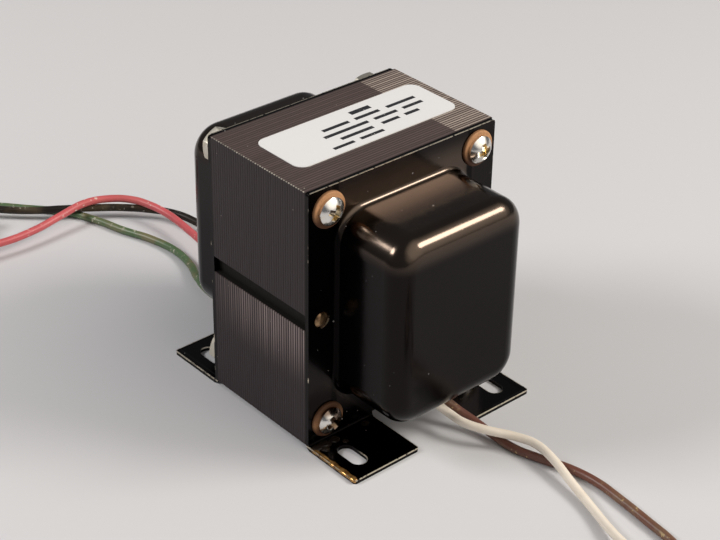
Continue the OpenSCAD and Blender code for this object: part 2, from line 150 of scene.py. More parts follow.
class Paint:
    """The node tree of one material, built node by node."""

    def __init__(self, name: str) -> None:
        """Makes an empty material of that name.

        Args:
            name: Name of the material.
        """
        self.material = bpy.data.materials.new(name)
        self.material.use_nodes = True
        self.tree = self.material.node_tree
        self.tree.nodes.clear()

    def node(
        self,
        kind: str,
        settings: dict[str, Any] | None = None,
        sockets: dict[int | str, Any] | None = None,
        output: int | str = 0,
    ) -> Signal:
        """Adds a node of any kind.

        Args:
            kind: Blender's name for the node's type.
            settings: Properties of the node, set first.
            sockets: Values or signals for its inputs, by number, identifier or name.
            output: Which output to return, by the same.

        Returns:
            The chosen output.
        """
        made = self.tree.nodes.new(kind)
        for name, value in (settings or {}).items():
            setattr(made, name, value)
        for key, value in (sockets or {}).items():
            socket = self._find(made.inputs, key)
            if isinstance(value, Signal):
                self.tree.links.new(value.socket, socket)
            else:
                socket.default_value = value
        return Signal(self, self._find(made.outputs, output))

    @staticmethod
    def _find(sockets: Any, key: int | str) -> bpy.types.NodeSocket:
        """Finds one of a node's inputs or outputs by its number, identifier or name.

        Args:
            sockets: The node's inputs or outputs.
            key: The number, identifier or name.

        Returns:
            The socket.
        """
        if isinstance(key, int):
            return sockets[key]
        return next(s for s in sockets if key in (s.identifier, s.name))

    def lead_out(self, kind: str, surface: Signal) -> None:
        """Ends the tree with an output node of that kind."""
        made = self.tree.nodes.new(kind)
        self.tree.links.new(surface.socket, made.inputs["Surface"])

    def place(self) -> tuple[Signal, Signal, Signal, Signal]:
        """Reads the place on the piece in millimetres.

        Returns:
            The place as a vector, and its X, Y and Z.
        """
        metres = self.node("ShaderNodeTexCoord", output="Object")
        vector = self.node("ShaderNodeVectorMath", {"operation": "SCALE"}, {0: metres, "Scale": 1.0 / MM})
        x = self.node("ShaderNodeSeparateXYZ", sockets={0: vector})
        return vector, x, x.other("Y"), x.other("Z")

    def stretch(self, vector: Signal, factors: Point) -> Signal:
        """Multiplies a place by a factor for each axis."""
        return self.node("ShaderNodeVectorMath", {"operation": "MULTIPLY"}, {0: vector, 1: factors})

    def noise(self, vector: Signal, scale: float, detail: float) -> Signal:
        """Soft random values, with scale waves for each millimetre."""
        return self.node("ShaderNodeTexNoise", sockets={"Vector": vector, "Scale": scale, "Detail": detail})

    def chance(self, value: Signal) -> Signal:
        """One random value for each whole number."""
        return self.node("ShaderNodeTexWhiteNoise", {"noise_dimensions": "1D"}, {"W": value})

    def specks(self, vector: Signal, scale: float, reach: float, share: float) -> Signal:
        """Scattered dots.

        Args:
            vector: Place on the piece.
            scale: Cells for each millimetre, with one dot at most in each cell.
            reach: Radius of the largest dots, as a part of a cell.
            share: Share of the cells that have a dot.

        Returns:
            A mask that is 1 in a dot.
        """
        place = {"Vector": vector, "Scale": scale}
        cell = self.node("ShaderNodeTexVoronoi", sockets=place, output="Distance")
        luck = self.node("ShaderNodeSeparateXYZ", sockets={0: cell.other("Color")})
        size = luck.other("Y") * reach + 0.3 * reach
        return (size - cell).rise(0.0, 0.3 * reach) * luck.fall(share, share + 0.01)

    def blend(self, factor: Any, first: Any, second: Any) -> Signal:
        """Mixes two colours, or signals of them: 0 gives the first and 1 the second."""
        sockets = {"Factor_Float": factor, "A_Color": first, "B_Color": second}
        return self.node("ShaderNodeMix", {"data_type": "RGBA"}, sockets, "Result_Color")

    def relief(self, height: Signal, depth: float) -> Signal:
        """Turns a height into a normal, where a height of 1 is that depth in millimetres."""
        sockets = {"Strength": 1.0, "Distance": depth * MM, "Height": height}
        return self.node("ShaderNodeBump", sockets=sockets)

    def finish(self, **sockets: Any) -> bpy.types.Material:
        """Ends the tree with the surface shader.

        Args:
            **sockets: Values and signals of the shader's inputs, with _ for a space in a name.

        Returns:
            The finished material.
        """
        named = {name.replace("_", " "): value for name, value in sockets.items()}
        self.lead_out("ShaderNodeOutputMaterial", self.node("ShaderNodeBsdfPrincipled", sockets=named))
        return self.material


@dataclass(frozen=True)
class Enamel:
    """Gloss black enamel on pressed steel, with a little dust on it. Its sheared corners carry bright lines,
    partly where little enamel covers the metal and partly a painted highlight, and painted shade darkens its
    concave bends.
    """

    gloss: Colour = rgb(0.084, 0.064, 0.051)
    dull: Colour = rgb(0.016, 0.0135, 0.0135)
    # Painted shade for the concave bends.
    painted_crease_shade: Colour = rgb(0.004, 0.0035, 0.0035)
    # Bright metal for the sheared corners: uncovered metal there, and also a painted highlight along their
    # rounded edges.
    steel: Colour = rgb(0.78, 0.7, 0.56)
    dust: Colour = rgb(0.26, 0.25, 0.25)
    cup_top_z: float = 68.2
    cup_side_y: float = 22.25
    flange_x: float = 20.25
    foot_end: float = 39.05
    foot_inner_y: float = 9.35
    slot_at: tuple[float, float] = (30.05, 24.95)
    slot_run: float = 2.4
    slot_radius: float = 2.4
    spare_hole_radius: float = 2.4
    line: float = 0.26
    bend: float = 1.5
    bow: float = 0.7
    bow_ease: float = 0.45
    relief: float = 0.12

    def foot_lines(self, out_x: Signal, out_y: Signal, z: Signal) -> Signal:
        """Finds the upper corners of the foot's sheared edges, where little enamel covers the metal and a
        painted highlight lies.

        Args:
            out_x: Distance from the middle along the stack.
            out_y: Distance from the middle across the stack.
            z: Height.

        Returns:
            A mask that is 1 where little enamel covers the metal and a painted highlight lies.
        """
        upper = z.rise(PART.sheet - 0.4, PART.sheet - 0.25) * z.fall(PART.sheet + 0.1, PART.sheet + 0.2)
        tip = out_x.rise(self.foot_end - self.line, self.foot_end - 0.6 * self.line)
        outer = out_y.rise(PART.half_width - self.line, PART.half_width - 0.6 * self.line)
        inner = out_y.near(self.foot_inner_y, self.line)
        along = (abs(out_x - self.slot_at[0]) - self.slot_run).larger(0.0)
        across = out_y - self.slot_at[1]
        rim = along.far(across).near(self.slot_radius, 0.8 * self.line)
        # Painted highlight: the slot's rim gets the bright line only on its lit end.
        lit = out_x.rise(self.slot_at[0] - 1.0, self.slot_at[0] + 2.0) * across.fall(0.3, 1.6)
        return upper * reduce(Signal.larger, (tip, outer, inner, rim * lit))

    def flange_lines(self, out_x: Signal, out_y: Signal, z: Signal, chips: Signal) -> Signal:
        """Finds the outer corners of the flange's sheared edges, where little enamel covers the metal and a
        painted highlight lies, and the lit side of its spare hole's rim, which gets a painted highlight.

        Args:
            out_x: Distance from the middle along the stack.
            out_y: Distance from the middle across the stack.
            z: Height.
            chips: Coarse noise that breaks the side edges up.

        Returns:
            A mask that is 1 where little enamel covers the metal and a painted highlight lies.
        """
        behind = out_x.fall(self.flange_x + 0.02, self.flange_x + 0.06)
        front = out_x.rise(self.flange_x - 0.35, self.flange_x - 0.2) * behind
        top = z.rise(PART.top_z - 0.16, PART.top_z - 0.08)
        side = out_y.rise(PART.half_width - 0.16, PART.half_width - 0.08) * chips.rise(0.6, 0.68)
        off_y = out_y - PART.spare_hole_y
        off_z = z - PART.mid_z
        rim = off_y.far(off_z).near(self.spare_hole_radius, 0.2)
        # Painted highlight: the spare hole's rim gets the bright line only on its lit side.
        lit = off_y.fall(-0.8, 0.9) * off_z.fall(-0.6, 1.0)
        return (front * top.larger(side)).larger(behind * rim * lit)

    def cup_glow(self, out_y: Signal, z: Signal, clouds: Signal) -> Signal:
        """Finds the top of the cup and the flange close above it, where the enamel is glossiest."""
        level = z.rise(self.cup_top_z - 9.0, self.cup_top_z - 4.0) * z.fall(self.cup_top_z + 1.5, PART.top_z)
        return level * out_y.fall(self.cup_side_y - 2.0, self.cup_side_y + 3.0) * (0.7 + 0.6 * clouds)

    def flange_bow(self, z: Signal) -> Signal:
        """Gives the height of the flange above the cup, which leans back a few degrees.

        Args:
            z: Height.

        Returns:
            The height, in depths of the relief.
        """
        start = self.cup_top_z + self.bend
        lean = ((z - start) / (PART.top_z - start)).larger(0.0).smaller(1.0)
        return lean * (self.bow_ease * lean - 1.0) * (self.bow / self.relief)

    def material(self) -> bpy.types.Material:
        """Mixes the enamel, the sheared corners with their painted highlight, the painted shade in the bends,
        and the dust.

        Returns:
            The material.
        """
        paint = Paint("gloss_enamel")
        vector, x, y, z = paint.place()
        out_x = abs(x)
        out_y = abs(y)
        chips = paint.noise(vector, scale=0.16, detail=3.0)
        clouds = paint.noise(vector, scale=0.05, detail=3.0)
        peel = paint.noise(vector, scale=0.45, detail=1.0)
        thin_and_highlit = self.foot_lines(out_x, out_y, z).larger(self.flange_lines(out_x, out_y, z, chips))
        # Painted highlight: the corners are mixed towards bright metal, partly for uncovered metal and partly
        # standing for the highlight on their rounded edges.
        bare_and_highlit = thin_and_highlit * paint.noise(vector, scale=0.8, detail=3.0).rise(0.3, 0.46)
        upright = paint.stretch(vector, (1.0, 1.0, 0.3))
        lint = paint.specks(upright, scale=0.22, reach=0.045, share=0.16)
        specks = paint.specks(vector, scale=0.3, reach=0.065, share=0.5).larger(lint)
        foot = z.fall(PART.sheet + 0.1, PART.sheet + 0.3)
        bead = foot * out_y.near(PART.half_width - 0.7, 0.9).larger(out_x.near(self.foot_end - 0.4, 0.5))
        # Painted shade: the concave bend between the cup's side and the flange, and the heel where the foot
        # meets the flange, are darkened to the painted crease shade.
        crease = out_x.near(self.flange_x + 0.8, 1.4) * out_y.near(self.cup_side_y + 0.8, 1.4)
        heel = out_x.near(self.flange_x + 0.9, 1.6) * z.near(PART.sheet + 0.9, 1.6)
        coat = paint.blend(self.cup_glow(out_y, z, clouds), self.dull, self.gloss)
        body = paint.blend(crease.larger(heel), coat, self.painted_crease_shade)
        return paint.finish(
            Base_Color=paint.blend(specks, paint.blend(bare_and_highlit, body, self.steel), self.dust),
            Metallic=1.0 - specks,
            Roughness=0.14 + clouds * 0.06 + bare_and_highlit * 0.28 + specks * 0.5,
            Normal=paint.relief(peel * 0.1 + bead * 0.5 + self.flange_bow(z), self.relief),
        )


@dataclass(frozen=True)
class CoreSteel:
    """Varnished lamination edges: fine lines across the stack, bright lines on the I bars' top that are
    partly burred sheet edges and partly a painted highlight, a scuffed corner, dust, and painted shade in the
    notch across the back.
    """

    varnish: Colour = rgb(0.023, 0.0155, 0.0172)
    lighter: Colour = rgb(0.044, 0.031, 0.0325)
    # Colours of the top face, lighter than the sides'.
    top_tone: Colour = rgb(0.05, 0.0355, 0.033)
    top_tone_light: Colour = rgb(0.105, 0.073, 0.067)
    amber: Colour = rgb(0.05, 0.028, 0.013)
    sheen: Colour = rgb(0.26, 0.205, 0.195)
    # Bright lines on the I bars' top: partly burred sheet edges and partly a painted highlight.
    scraped_and_highlit: Colour = rgb(0.42, 0.35, 0.3)
    bright: Colour = rgb(0.68, 0.63, 0.54)
    # Painted shade for the notch across the back; the same dark colour also covers the ends under the bells.
    notch_shade_and_dark_ends: Colour = rgb(0.0045, 0.0038, 0.0025)
    pitch: float = 0.94
    end_x: float = 19.05
    back_y: float = -PART.half_width
    seam_y: float = 19.05
    notch_half: float = 2.4
    other_draw: float = 71.0

    def inner(self, paint: Paint, y: Signal, z: Signal) -> Signal:
        """Gives the painted shade in the notch and the dark colour of the ends under the bells, amber behind
        the spare holes.
        """
        away = (abs(y) - PART.spare_hole_y).far(z - PART.mid_z)
        return paint.blend(away.fall(2.2, 2.6), self.notch_shade_and_dark_ends, self.amber)

    def notch_shade_and_ends(self, x: Signal, y: Signal, z: Signal) -> Signal:
        """Finds the notch across the back, where painted shade goes, and the ends of the stack.

        Args:
            x: Place along the stack.
            y: Place across the stack.
            z: Height.

        Returns:
            A mask that is 1 there.
        """
        level = abs(z - PART.mid_z).fall(self.notch_half, self.notch_half + 0.05)
        depth = y.rise(self.back_y + 0.2, self.back_y + 0.5) * y.fall(self.back_y + 2.0, self.back_y + 2.1)
        return (level * depth).larger(abs(x).rise(self.end_x - 0.06, self.end_x - 0.02))

    def material(self) -> bpy.types.Material:
        """Lays the lines of the sheets over the varnish.

        Returns:
            The material.
        """
        paint = Paint("core_varnish")
        vector, x, y, z = paint.place()
        sheet = (x / self.pitch).whole()
        luck = paint.chance(sheet)
        uneven = 0.5 + 0.5 * luck
        ridge = (x / self.pitch).part().near(0.5, 0.36)
        clouds = paint.noise(vector, scale=0.06, detail=4.0)
        grain = paint.noise(paint.stretch(vector, (2.0, 0.2, 0.2)), scale=1.6, detail=3.0)
        specks = paint.specks(vector, scale=0.3, reach=0.055, share=0.5)
        # Painted shade in the notch across the back; the ends under the bells take the same dark colour.
        dark = self.notch_shade_and_ends(x, y, z)
        low = PART.mid_z - self.notch_half
        left = y.fall(self.back_y + 0.1, self.back_y + 0.3)
        below = z.rise(low - 19.0, low - 2.0) * z.fall(low, low + 0.2) * x.rise(-26.0, 2.0)
        top = z.rise(PART.top_z - 0.15, PART.top_z - 0.08)
        bar = y.rise(self.seam_y - 0.3, self.seam_y + 0.1)
        sheen = ridge * uneven * (left * below).larger(0.16 * top)
        # Burred sheet edges and painted highlight: the I bars' top gets bright lines along its sheets.
        scraped_and_highlit = ridge * uneven * top * bar * clouds.rise(0.25, 0.5)
        corner = y.fall(self.back_y + 0.12, self.back_y + 0.3) * z.rise(PART.top_z - 0.3, PART.top_z - 0.12)
        chance = 0.3 + 0.7 * paint.chance(sheet + self.other_draw)
        dots = corner * ridge * chance * clouds.rise(0.3, 0.45)
        mixed = 0.5 * grain + 0.35 * luck * clouds
        side = paint.blend(mixed, self.varnish, self.lighter)
        # The top face is given lighter colours than the sides.
        base = paint.blend(top, side, paint.blend(mixed, self.top_tone, self.top_tone_light))
        lined = paint.blend(scraped_and_highlit, paint.blend(sheen, base, self.sheen), self.scraped_and_highlit)
        dusty = paint.blend(dots.larger(specks * 0.6), lined, self.bright)
        return paint.finish(
            Base_Color=paint.blend(dark, dusty, self.inner(paint, y, z)),
            Metallic=dots * 0.6,
            Roughness=0.4 + 0.2 * grain + 0.3 * dark,
            Specular_IOR_Level=0.28,
            Normal=paint.relief(0.5 * ridge + 0.5 * grain, 0.008),
        )


@dataclass(frozen=True)
class Plating:
    """Bright zinc on the screws, nuts and lock washers, warmer inside the cross recess.

    A film of varnish lies over part of the head by the near foot.
    """

    name: str = "bright_zinc"
    zinc: Colour = rgb(0.74, 0.72, 0.69)
    warm: Colour = rgb(0.72, 0.55, 0.27)
    film: Colour = rgb(0.14, 0.088, 0.06)
    roughness: float = 0.13

    def material(self) -> bpy.types.Material:
        """Mixes the plating, its stains and the film.

        Returns:
            The material.
        """
        paint = Paint(self.name)
        vector, x, y, z = paint.place()
        off_y = abs(y) - PART.screw_y
        off_z = abs(z - PART.mid_z) - PART.screw_z
        drop = (PART.dome_r**2 - (off_y * off_y + off_z * off_z)).larger(0.0).root()
        dome = drop + (PART.head_base_x + PART.head_h - PART.dome_r)
        sunk = (dome - x).rise(0.12, 0.5) * x.rise(PART.head_base_x + 0.9, PART.head_base_x + 1.0)
        stains = paint.noise(vector, scale=0.5, detail=4.0).rise(0.5, 0.75)
        fine = paint.noise(vector, scale=3.0, detail=3.0)
        plated = paint.blend((sunk * 0.8).larger(stains * 0.25), self.zinc, self.warm)
        above = z - (PART.mid_z - PART.screw_z)
        heads = x.rise(PART.head_base_x - 1.0, PART.head_base_x)
        by_foot = above.fall(6.0, 8.0) * y.fall(-18.0, -16.0) * heads
        band = reduce(Signal.larger, ((y + PART.screw_y).near(1.5, 2.2), above.rise(1.8, 3.2), sunk))
        return paint.finish(
            Base_Color=paint.blend(by_foot * band * 0.92, plated, self.film),
            Metallic=1.0,
            Roughness=self.roughness + 0.1 * fine + 0.1 * stains,
            Normal=paint.relief(fine, 0.006),
        )


@dataclass(frozen=True)
class Fibre:
    """Tan fibreboard with a fibrous grain. Painted shade darkens its rim and the half of each washer below
    its screw, and the washers at the lower screws are darkened by varnish and painted shade.
    """

    tan: Colour = rgb(0.48, 0.25, 0.12)
    dark: Colour = rgb(0.08, 0.034, 0.017)
    rim: float = 5.1

    def material(self) -> bpy.types.Material:
        """Mixes the board's grain, the painted shade at its rim and below the screw head, and the varnish and
        painted shade at the lower screws.

        Returns:
            The material.
        """
        paint = Paint("tan_fibre")
        vector, _, y, z = paint.place()
        off_y = abs(y) - PART.screw_y
        off_z = abs(z - PART.mid_z) - PART.screw_z
        grain = paint.noise(paint.stretch(vector, (6.0, 1.0, 0.4)), scale=1.4, detail=4.0)
        above = off_z * (2.0 * z.rise(PART.mid_z - 1.0, PART.mid_z + 1.0) - 1.0)
        # Painted shade: the rim and the half below the screw are darkened, where the head's shadow falls; the
        # lower washers are darker still, for varnish and painted shade.
        edge = off_y.far(off_z).rise(self.rim - 0.2, self.rim) * 0.4
        soaked_and_shaded = z.fall(PART.mid_z - 25.0, PART.mid_z - 15.0) * (0.45 + 0.5 * above.rise(-1.0, 4.5))
        dark = reduce(Signal.larger, (above.fall(-3.0, 2.5), edge, grain.rise(0.5, 0.8) * 0.6, soaked_and_shaded))
        return paint.finish(
            Base_Color=paint.blend(dark, self.tan, self.dark),
            Roughness=0.55 + 0.25 * grain,
            Specular_IOR_Level=0.25,
            Normal=paint.relief(grain, 0.03),
        )


@dataclass(frozen=True)
class LabelFilm:
    """White label film with plain printed bars in rows, and a slightly yellowed edge.

    Each row has its place across the label, its height, and the start and end of each bar along the label.
    """

    white: Colour = rgb(0.8, 0.8, 0.81)
    yellowed: Colour = rgb(0.7, 0.68, 0.64)
    ink: Colour = rgb(0.02, 0.02, 0.024)
    half_width: float = 9.45
    shift: float = 2.0
    soft: float = 0.1
    rows: tuple[tuple[float, float, tuple[tuple[float, float], ...]], ...] = (
        (-5.9, 1.7, ((2.0, 9.0),)),
        (-2.7, 1.2, ((-10.0, -1.0), (1.0, 9.5), (12.0, 22.0))),
        (0.4, 1.2, ((-12.0, 3.0), (5.0, 13.0), (15.0, 22.0))),
        (3.5, 1.2, ((-9.0, 2.0), (5.0, 11.0), (13.0, 18.0))),
        (6.5, 1.1, ((-14.0, -7.0), (-5.0, 3.0))),
    )

    def print_mask(self, x: Signal, y: Signal) -> Signal:
        """Adds up the printed bars.

        Args:
            x: Place across the label.
            y: Place along the label.

        Returns:
            A mask that is 1 in the print.
        """
        bars = []
        for row_x, height, spans in self.rows:
            row = abs(x - row_x).fall(0.5 * height, 0.5 * height + self.soft)
            for start, end in spans:
                half = 0.5 * (end - start)
                bars.append(row * abs(y - (self.shift + start + half)).fall(half - self.soft, half))
        return reduce(Signal.larger, bars)

    def material(self) -> bpy.types.Material:
        """Prints the film.

        Returns:
            The material.
        """
        paint = Paint("label_film_print")
        vector, x, y, _ = paint.place()
        ink = self.print_mask(x, y) * paint.noise(vector, scale=2.2, detail=3.0).rise(0.22, 0.34)
        edge = abs(x).rise(self.half_width - 0.5, self.half_width)
        clouds = paint.noise(vector, scale=0.12, detail=3.0)
        film = paint.blend(edge * 0.5 + clouds * 0.25, self.white, self.yellowed)
        return paint.finish(
            Base_Color=paint.blend(ink, film, self.ink),
            Roughness=0.38 + 0.15 * clouds,
            Normal=paint.relief(clouds, 0.02),
        )


@dataclass(frozen=True)
class Sleeve:
    """Satin PVC sleeve of one lead, a little grubby, with stains and flecks of varnish."""

    name: str
    colour: Colour
    grime: Colour
    flecked: float = 0.0
    fleck: Colour = rgb(0.72, 0.66, 0.55)
    stained: float = 0.0
    stain: Colour = rgb(0.24, 0.18, 0.095)
    gloss: float = 0.5

    def material(self) -> bpy.types.Material:
        """Mixes the sleeve's colour, its grime, and the stains and flecks on it.

        Returns:
            The material.
        """
        paint = Paint(self.name)
        vector, _, _, _ = paint.place()
        clouds = paint.noise(vector, scale=0.16, detail=4.0)
        fine = paint.noise(vector, scale=1.5, detail=2.0)
        stains = paint.noise(vector, scale=0.1, detail=4.0).rise(0.5, 0.66) * self.stained
        clusters = paint.noise(vector, scale=0.06, detail=2.0).rise(0.46, 0.54)
        flecks = paint.noise(vector, scale=0.75, detail=4.0).rise(0.6, 0.65) * clusters * self.flecked
        dirty = paint.blend(clouds.rise(0.45, 0.8) * 0.5, self.colour, self.grime)
        soiled = paint.blend(stains, dirty, self.stain)
        return paint.finish(
            Base_Color=paint.blend(flecks, soiled, self.fleck),
            Roughness=0.3 + 0.2 * clouds + 0.2 * flecks,
            Specular_IOR_Level=self.gloss,
            Normal=paint.relief(fine, 0.02),
        )


@dataclass(frozen=True)
class Mottled:
    """A plain material with soft variation: rubber, paper, wire, nylon, varnish or tinned copper."""

    name: str
    colour: Colour
    second: Colour
    roughness: float
    metallic: float = 0.0
    scale: float = 0.6
    grain: Point = (1.0, 1.0, 1.0)
    depth: float = 0.02

    def material(self) -> bpy.types.Material:
        """Mixes the two colours along the grain.

        Returns:
            The material.
        """
        paint = Paint(self.name)
        vector, _, _, _ = paint.place()
        grain = paint.noise(paint.stretch(vector, self.grain), self.scale, detail=4.0)
        return paint.finish(
            Base_Color=paint.blend(grain.rise(0.35, 0.7), self.colour, self.second),
            Metallic=self.metallic,
            Roughness=self.roughness + 0.15 * grain,
            Normal=paint.relief(grain, self.depth),
        )


class Sky(Paint):
    """The node tree of the light all round the object."""

    def __init__(self, name: str) -> None:
        """Makes an empty world of that name.

        Args:
            name: Name of the world.
        """
        self.world = bpy.data.worlds.new(name)
        self.world.use_nodes = True
        self.tree = self.world.node_tree
        self.tree.nodes.clear()

    def shine(self, base: Colour, glow: Colour, toward: Point, edge: tuple[float, float]) -> bpy.types.World:
        """Gives the world an even light with a wide soft glow on one side.

        Args:
            base: The even light.
            glow: The light in the middle of the glow.
            toward: Direction of the glow from the object.
            edge: Cosines of the angle from that direction where the glow starts and where it is full.

        Returns:
            The finished world.
        """
        place = self.node("ShaderNodeTexCoord", output="Generated")
        aim = Vector(toward).normalized()
        close = self.node("ShaderNodeVectorMath", {"operation": "DOT_PRODUCT"}, {0: place, 1: aim}, "Value")
        light = self.blend(close.rise(*edge), base, glow)
        self.lead_out("ShaderNodeOutputWorld", self.node("ShaderNodeBackground", sockets={"Color": light}))
        return self.world


class Sense(Enum):
    """Which way a lead runs round its coil, seen from above."""

    CLOCKWISE = -1
    ANTICLOCKWISE = 1


class End(Enum):
    """The end of an upright mesh, and the way along Z that it faces."""

    TOP = 1.0
    BOTTOM = -1.0


class Solid(Enum):
    """Blender's names for the boolean joins in use."""

    CUT = "DIFFERENCE"
    SHARE = "INTERSECT"
    JOIN = "UNION"


class Bench:
    """Edit-mode work on one new mesh, in millimetres."""

    end_depth: float = 0.05
    end_facing: float = 0.9
    sharp: float = math.radians(35.0)
    smooth: float = math.radians(32.0)

    def __init__(self, made: bpy.types.Object) -> None:
        """Keeps the object in work."""
        self.made = made

    @classmethod
    def cylinder(cls, sides: int, radius: float, low: float, high: float) -> "Bench":
        """Starts from an upright cylinder.

        Args:
            sides: Number of sides.
            radius: Radius to its corners.
            low: Height of its lower end.
            high: Height of its upper end.

        Returns:
            A bench with the cylinder on it.
        """
        bpy.ops.object.select_all(action="DESELECT")
        bpy.ops.mesh.primitive_cylinder_add(
            vertices=sides, radius=radius, depth=high - low, location=(0.0, 0.0, 0.5 * (low + high))
        )
        return cls._settled()

    @classmethod
    def block(cls, size: Point, middle: Point) -> "Bench":
        """Starts from a block of that size about its middle.

        Args:
            size: Its size along each axis.
            middle: Its middle.

        Returns:
            A bench with the block on it.
        """
        bpy.ops.object.select_all(action="DESELECT")
        bpy.ops.mesh.primitive_cube_add(size=1.0, location=middle, scale=size)
        return cls._settled()

    @classmethod
    def _settled(cls) -> "Bench":
        """Puts the new object's place into its mesh."""
        bpy.ops.object.transform_apply(location=True, rotation=True, scale=True)
        return cls(bpy.context.active_object)

    def alone(self) -> None:
        """Selects this object and nothing else."""
        bpy.ops.object.select_all(action="DESELECT")
        self.made.select_set(True)
        bpy.context.view_layer.objects.active = self.made

    def clear_away(self) -> None:
        """Deletes the object."""
        self.alone()
        bpy.ops.object.delete()

    def pick(self, end: End) -> None:
        """Goes to edit mode with the face at one end selected.

        Args:
            end: The end.
        """
        self.alone()
        bpy.ops.object.mode_set(mode="EDIT")
        bpy.ops.mesh.select_mode(type="FACE")
        bpy.ops.mesh.select_all(action="DESELECT")
        mesh = bmesh.from_edit_mesh(self.made.data)
        limit = max(end.value * face.calc_center_median().z for face in mesh.faces) - self.end_depth
        for face in mesh.faces:
            outermost = end.value * face.calc_center_median().z > limit
            face.select_set(outermost and end.value * face.normal.z > self.end_facing)
        bmesh.update_edit_mesh(self.made.data)

    def narrow(self, factor_x: float, factor_y: float) -> None:
        """Scales the selected faces about the axis."""
        bpy.ops.transform.resize(value=(factor_x, factor_y, 1.0), center_override=(0.0, 0.0, 0.0))

    def leave(self) -> None:
        """Goes back to object mode."""
        bpy.ops.object.mode_set(mode="OBJECT")

    def grow(self, steps: Iterable[tuple[float, float]], end: End = End.TOP) -> None:
        """Extrudes the face at one end outwards, step by step.

        Args:
            steps: How far each step goes, and its scale across the axis.
            end: The end to start from.
        """
        self.pick(end)
        for rise, factor in steps:
            move = {"value": (0.0, 0.0, end.value * rise)}
            bpy.ops.mesh.extrude_region_move(TRANSFORM_OT_translate=move)
            self.narrow(factor, factor)
        self.leave()

    def apply(self, kind: str, **settings: Any) -> None:
        """Puts the mesh through a modifier.

        Args:
            kind: Blender's name for the modifier's type.
            **settings: The modifier's properties.
        """
        self.alone()
        made = self.made.modifiers.new(kind.lower(), kind)
        for name, value in settings.items():
            setattr(made, name, value)
        bpy.ops.object.modifier_apply(modifier=made.name)

    def combine(self, tool: "Bench", how: Solid) -> None:
        """Cuts with another mesh, joins it on or keeps what both share, and clears it away."""
        self.apply("BOOLEAN", object=tool.made, operation=how.value, solver="EXACT", use_self=True)
        tool.clear_away()

    def soften(self, width: float) -> None:
        """Rounds the sharp edges to that width."""
        self.apply("BEVEL", width=width, segments=2, limit_method="ANGLE", angle_limit=self.sharp)

    def copies(self, name: str, places: list[Matrix]) -> bpy.types.Object:
        """Lays copies of the mesh and joins them into one piece, in metres.

        Args:
            name: Name of the piece.
            places: Where each copy goes, in millimetres.

        Returns:
            The joined piece, at the origin.
        """
        made = []
        for place in places:
            twin = self.made.copy()
            twin.data = self.made.data.copy()
            twin.data.transform(Matrix.Scale(MM, 4) @ place)
            bpy.context.collection.objects.link(twin)
            made.append(twin)
        self.clear_away()
        for twin in made:
            twin.select_set(True)
        bpy.context.view_layer.objects.active = made[0]
        if len(made) > 1:
            bpy.ops.object.join()
        piece = bpy.context.active_object
        piece.name = name
        piece.data.name = name
        bpy.ops.object.shade_smooth_by_angle(angle=self.smooth)
        return piece


def dress(piece: bpy.types.Object, material: bpy.types.Material) -> None:
    """Gives a piece one material all over."""
    piece.data.materials.clear()
    piece.data.materials.append(material)


def dress_nodes(material: bpy.types.Material, *names: str) -> None:
    """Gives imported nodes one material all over.

    Args:
        material: The material.
        *names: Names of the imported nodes.
    """
    for name in names:
        dress(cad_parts[name], material)
        LOG.info("dressed %s", name)


def keep(piece: bpy.types.Object, material: bpy.types.Material, slot: str, *nodes: str) -> None:
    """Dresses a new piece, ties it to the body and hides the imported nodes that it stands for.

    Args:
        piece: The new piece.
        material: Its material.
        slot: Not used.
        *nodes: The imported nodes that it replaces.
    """
    dress(piece, material)
    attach(piece, BODY)
    if nodes:
        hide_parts(*nodes)
    LOG.info("made %s", piece.name)


@dataclass(frozen=True)
class Softbox:
    """A soft lamp: where it hangs and its size, both in metres, its power in watts and its colour."""

    name: str
    at: Point
    size: tuple[float, float]
    power: float
    tone: Point

    def hang(self, aim_at: Point) -> None:
        """Hangs the lamp so that it faces a point.

        Args:
            aim_at: The point, in metres.
        """
        bpy.ops.object.light_add(type="AREA", location=self.at)
        lamp = bpy.context.active_object
        lamp.name = self.name
        lamp.data.shape = "ELLIPSE"
        lamp.data.size, lamp.data.size_y = self.size
        lamp.data.energy = self.power
        lamp.data.color = self.tone
        aim = Vector(aim_at) - Vector(self.at)
        lamp.rotation_euler = aim.to_track_quat("-Z", "Y").to_euler()


